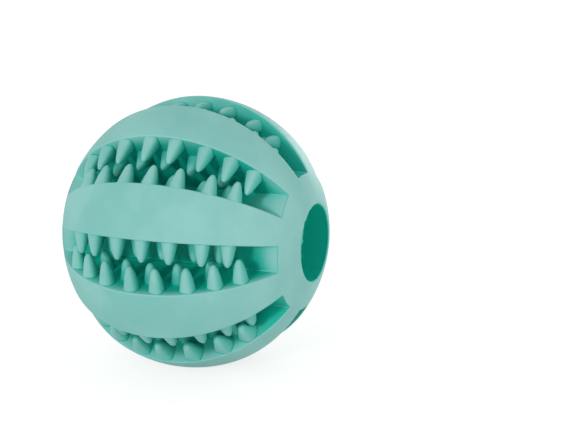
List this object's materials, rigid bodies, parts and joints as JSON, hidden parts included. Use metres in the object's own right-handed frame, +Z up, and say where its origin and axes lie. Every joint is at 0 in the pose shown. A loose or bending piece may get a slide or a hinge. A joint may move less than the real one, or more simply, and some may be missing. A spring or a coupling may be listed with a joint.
{
  "type": "dental chew ball",
  "caption": "Hollow-cored rubber chew ball with lengthwise grooves whose walls carry soft pointed teeth that clean a dog's teeth as it bites.",
  "frame": {"origin": "centre of the ball, on the axis of its through bore", "axes": "+X along the bore, towards the front mouth; +Z up through the middle of a groove, so that the ball rests on both edges of the groove below"},
  "size_m": [0.0606, 0.0636, 0.0636],
  "materials": {
    "band_rubber": "matte moulded natural rubber, mint green",
    "core_rubber": "matte moulded natural rubber, mint green, in shade",
    "tooth_rubber": "matte moulded natural rubber, mint green"
  },
  "bodies": {
    "root": {"core_tube": "core_rubber", "end_collar_front": "band_rubber", "end_collar_rear": "band_rubber", "band_1": "band_rubber", "band_2": "band_rubber", "band_3": "band_rubber", "band_4": "band_rubber", "band_5": "band_rubber", "band_6": "band_rubber", "band_7": "band_rubber", "band_8": "band_rubber", "tooth_strip_1a": "tooth_rubber", "tooth_strip_1b": "tooth_rubber", "tooth_strip_2a": "tooth_rubber", "tooth_strip_2b": "tooth_rubber", "tooth_strip_3a": "tooth_rubber", "tooth_strip_3b": "tooth_rubber", "tooth_strip_4a": "tooth_rubber", "tooth_strip_4b": "tooth_rubber", "tooth_strip_5a": "tooth_rubber", "tooth_strip_5b": "tooth_rubber", "tooth_strip_6a": "tooth_rubber", "tooth_strip_6b": "tooth_rubber", "tooth_strip_7a": "tooth_rubber", "tooth_strip_7b": "tooth_rubber", "tooth_strip_8a": "tooth_rubber", "tooth_strip_8b": "tooth_rubber"}
  },
  "joints": []
}
